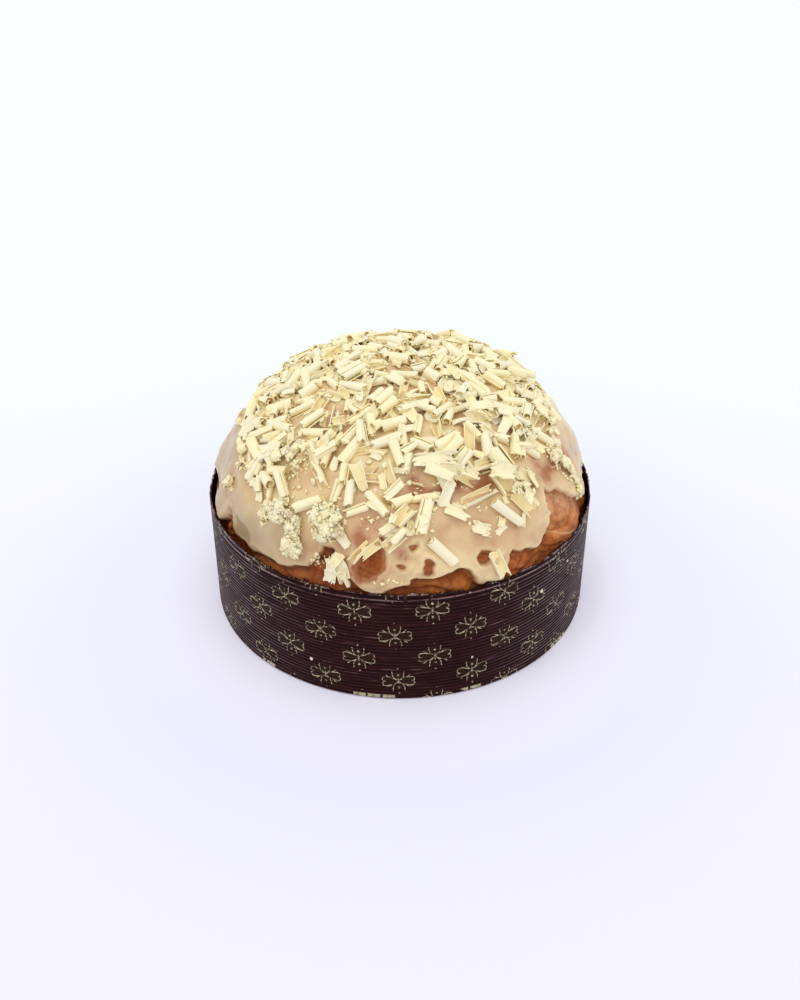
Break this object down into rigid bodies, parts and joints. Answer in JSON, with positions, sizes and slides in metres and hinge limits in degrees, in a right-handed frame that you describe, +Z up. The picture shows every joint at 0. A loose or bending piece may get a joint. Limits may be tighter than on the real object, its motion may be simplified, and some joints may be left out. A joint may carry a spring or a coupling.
{
  "type": "panettone",
  "caption": "Low domed sweet bread in a round corrugated paper case, glazed and covered with curls of white chocolate.",
  "frame": {"origin": "middle of the paper case's flat underside", "axes": "+Z up, -Y the front of the dome as it is seen, +X to the right"},
  "size_m": [0.187, 0.187, 0.1213],
  "materials": {
    "paper": "dark brown corrugated baking paper with a pale gold rosette print, satin",
    "crust": "baked crust, orange brown, satin",
    "white_chocolate": "ivory glaze and pale yellow white chocolate curls, satin"
  },
  "bodies": {
    "root": {"paper_case": "paper", "loaf": "crust", "icing_and_curls": "white_chocolate"}
  },
  "joints": []
}
